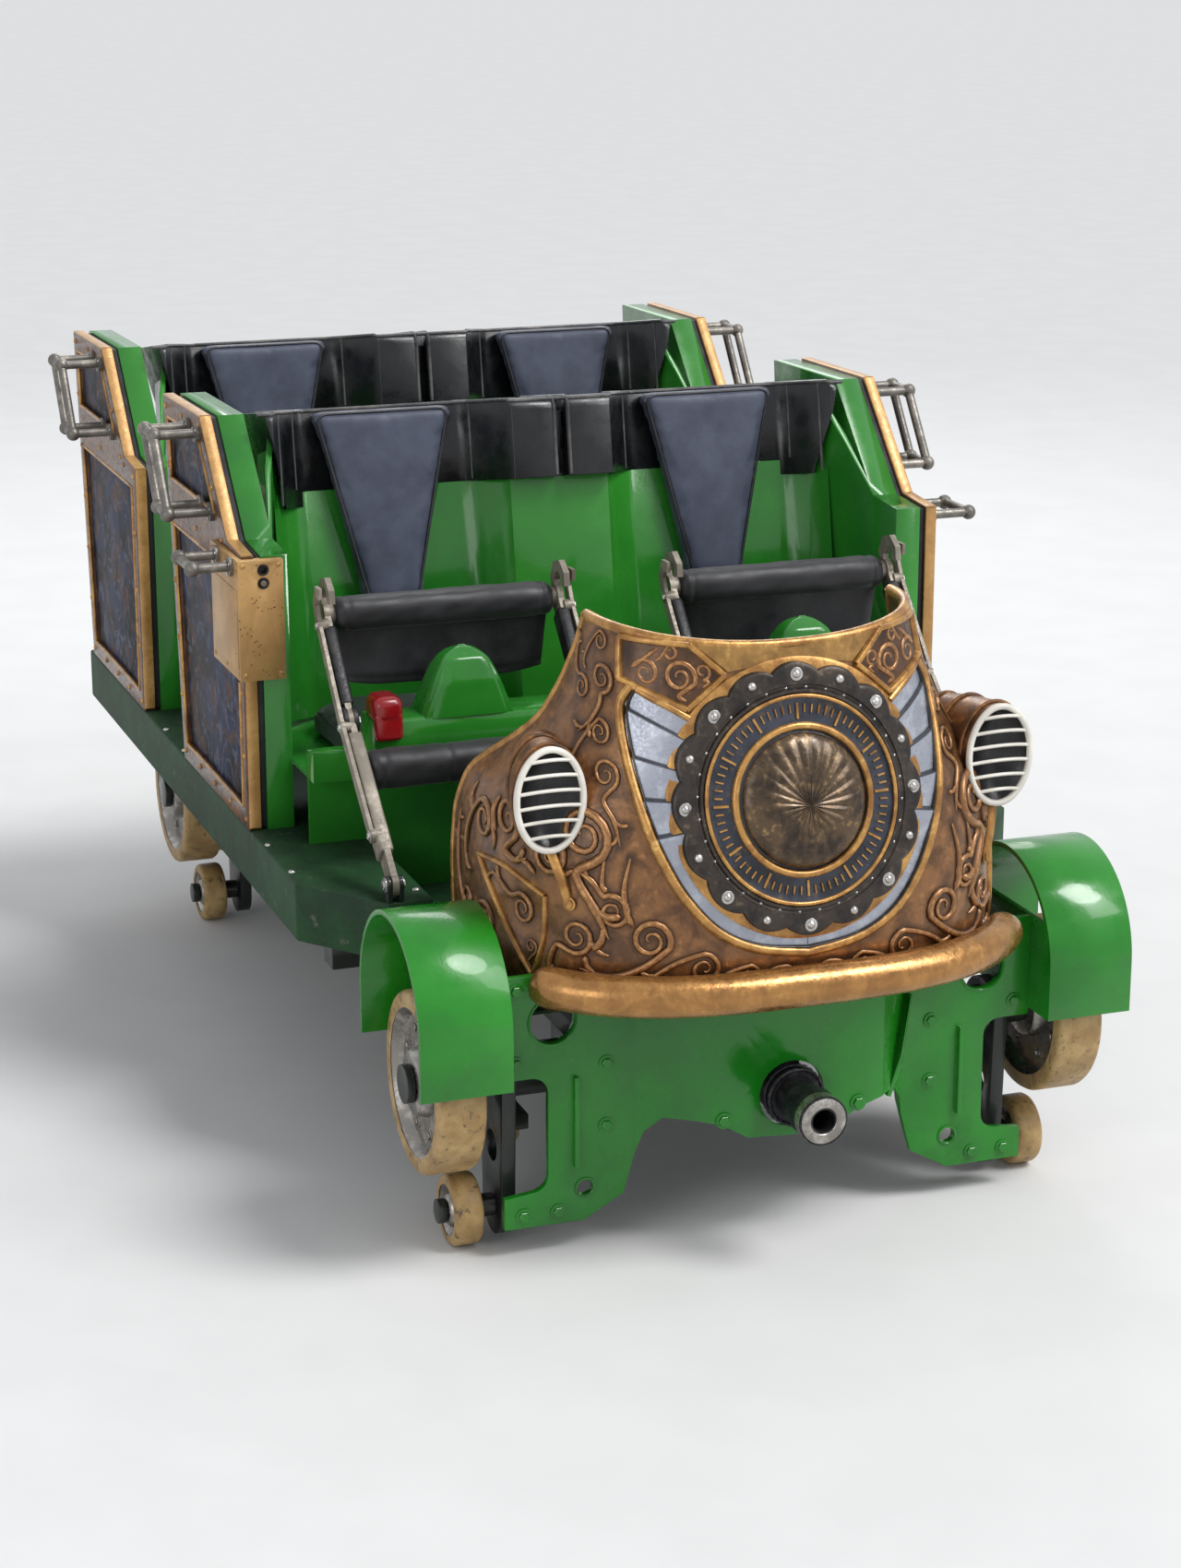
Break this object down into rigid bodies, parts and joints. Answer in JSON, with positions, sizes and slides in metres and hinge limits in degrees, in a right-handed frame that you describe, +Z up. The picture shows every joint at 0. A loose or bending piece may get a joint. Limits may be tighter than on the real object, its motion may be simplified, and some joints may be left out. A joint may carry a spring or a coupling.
{
  "type": "roller coaster car",
  "caption": "Lead car of a roller coaster train with rows of paired seats, swinging lap bars, a round-nosed front, and free-turning road, guide and upstop wheels.",
  "frame": {"origin": "on the floor plane at the middle of the car's overall length and width", "axes": "+X forward to the nose, +Y to the riders' left, +Z up"},
  "size_m": [2.45, 1.4198, 1.1367],
  "materials": {
    "frame_steel": "satin dark green-black paint",
    "green_paint": "glossy grass green",
    "floor_green": "dark green, non-slip",
    "bronze_paint": "antique bronze with gold highlights",
    "gold_trim": "old gold",
    "gunmetal": "dark gunmetal with gold gaps",
    "copper_brown": "mottled copper brown",
    "inset_blue": "mottled dark blue and brown",
    "black_rubber": "matte black",
    "coupler_steel": "dark worn steel with a bright rim",
    "shell_black": "satin black",
    "seat_vinyl": "black vinyl",
    "pad_vinyl": "blue-grey vinyl with light piping",
    "pewter": "weathered pewter",
    "box_brass": "tan brass with dark specks",
    "bracket_grey": "dark grey",
    "latch_red": "glossy red",
    "wheel_tyre": "worn cream polyurethane",
    "bar_taupe": "satin taupe grey",
    "pad_foam": "black foam skin",
    "lamp_bronze": "bronze with white rims"
  },
  "bodies": {
    "chassis": {"chassis_frame": "frame_steel", "front_plate": "green_paint", "rear_plate": "green_paint", "front_axle": "frame_steel", "rear_axle": "frame_steel", "front_fenders": "green_paint", "coupler_tube": "coupler_steel", "rear_hitch": "coupler_steel", "floor_pan": "floor_green", "nose_shell": "bronze_paint", "nose_border": "gold_trim", "medallion": "gunmetal", "bumper": "black_rubber", "lamps": "lamp_bronze", "seat_shell_1": "green_paint", "seat_shell_2": "green_paint", "head_shells": "shell_black", "back_pads": "pad_vinyl", "seat_cushions": "seat_vinyl", "side_panels": "copper_brown", "inset_panels": "inset_blue", "side_gaskets": "black_rubber", "grab_rods": "pewter", "control_box": "box_brass", "restraint_brackets": "bracket_grey", "latches": "latch_red"},
    "road_wheel_fl": {"road_wheel_fl": "wheel_tyre"},
    "road_wheel_fr": {"road_wheel_fr": "wheel_tyre"},
    "road_wheel_rl": {"road_wheel_rl": "wheel_tyre"},
    "road_wheel_rr": {"road_wheel_rr": "wheel_tyre"},
    "guide_wheel_fl": {"guide_wheel_fl": "wheel_tyre"},
    "guide_wheel_fr": {"guide_wheel_fr": "wheel_tyre"},
    "guide_wheel_rl": {"guide_wheel_rl": "wheel_tyre"},
    "guide_wheel_rr": {"guide_wheel_rr": "wheel_tyre"},
    "upstop_wheel_fl": {"upstop_wheel_fl": "wheel_tyre"},
    "upstop_wheel_fr": {"upstop_wheel_fr": "wheel_tyre"},
    "upstop_wheel_rl": {"upstop_wheel_rl": "wheel_tyre"},
    "upstop_wheel_rr": {"upstop_wheel_rr": "wheel_tyre"},
    "lap_bar_1l": {"lap_bar_1l": "bar_taupe", "lap_pads_1l": "pad_foam"},
    "lap_bar_1r": {"lap_bar_1r": "bar_taupe", "lap_pads_1r": "pad_foam"},
    "lap_bar_2l": {"lap_bar_2l": "bar_taupe", "lap_pads_2l": "pad_foam"},
    "lap_bar_2r": {"lap_bar_2r": "bar_taupe", "lap_pads_2r": "pad_foam"}
  },
  "joints": [
    {"name": "road_wheel_fl_spin", "type": "hinge", "parent": "chassis", "child": "road_wheel_fl", "pos_m": [0.933, 0.507, 0.27], "axis": [0, 1, 0], "continuous": true},
    {"name": "road_wheel_fr_spin", "type": "hinge", "parent": "chassis", "child": "road_wheel_fr", "pos_m": [0.933, -0.507, 0.27], "axis": [0, 1, 0], "continuous": true},
    {"name": "road_wheel_rl_spin", "type": "hinge", "parent": "chassis", "child": "road_wheel_rl", "pos_m": [-0.715, 0.507, 0.27], "axis": [0, 1, 0], "continuous": true},
    {"name": "road_wheel_rr_spin", "type": "hinge", "parent": "chassis", "child": "road_wheel_rr", "pos_m": [-0.715, -0.507, 0.27], "axis": [0, 1, 0], "continuous": true},
    {"name": "guide_wheel_fl_spin", "type": "hinge", "parent": "chassis", "child": "guide_wheel_fl", "pos_m": [0.783, 0.383, 0.122], "axis": [0, 0, 1], "continuous": true},
    {"name": "guide_wheel_fr_spin", "type": "hinge", "parent": "chassis", "child": "guide_wheel_fr", "pos_m": [0.783, -0.383, 0.122], "axis": [0, 0, 1], "continuous": true},
    {"name": "guide_wheel_rl_spin", "type": "hinge", "parent": "chassis", "child": "guide_wheel_rl", "pos_m": [-0.865, 0.383, 0.122], "axis": [0, 0, 1], "continuous": true},
    {"name": "guide_wheel_rr_spin", "type": "hinge", "parent": "chassis", "child": "guide_wheel_rr", "pos_m": [-0.865, -0.383, 0.122], "axis": [0, 0, 1], "continuous": true},
    {"name": "upstop_wheel_fl_spin", "type": "hinge", "parent": "chassis", "child": "upstop_wheel_fl", "pos_m": [0.933, 0.471, 0.056], "axis": [0, 1, 0], "continuous": true},
    {"name": "upstop_wheel_fr_spin", "type": "hinge", "parent": "chassis", "child": "upstop_wheel_fr", "pos_m": [0.933, -0.471, 0.056], "axis": [0, 1, 0], "continuous": true},
    {"name": "upstop_wheel_rl_spin", "type": "hinge", "parent": "chassis", "child": "upstop_wheel_rl", "pos_m": [-0.715, 0.471, 0.056], "axis": [0, 1, 0], "continuous": true},
    {"name": "upstop_wheel_rr_spin", "type": "hinge", "parent": "chassis", "child": "upstop_wheel_rr", "pos_m": [-0.715, -0.471, 0.056], "axis": [0, 1, 0], "continuous": true},
    {"name": "lap_bar_1l_swing", "type": "hinge", "parent": "chassis", "child": "lap_bar_1l", "pos_m": [0.7, 0.3, 0.506], "axis": [0, 1, 0], "range_deg": [0, 32]},
    {"name": "lap_bar_1r_swing", "type": "hinge", "parent": "chassis", "child": "lap_bar_1r", "pos_m": [0.7, -0.3, 0.506], "axis": [0, 1, 0], "range_deg": [0, 32]},
    {"name": "lap_bar_2l_swing", "type": "hinge", "parent": "chassis", "child": "lap_bar_2l", "pos_m": [-0.12, 0.3, 0.506], "axis": [0, 1, 0], "range_deg": [0, 32]},
    {"name": "lap_bar_2r_swing", "type": "hinge", "parent": "chassis", "child": "lap_bar_2r", "pos_m": [-0.12, -0.3, 0.506], "axis": [0, 1, 0], "range_deg": [0, 32]}
  ]
}
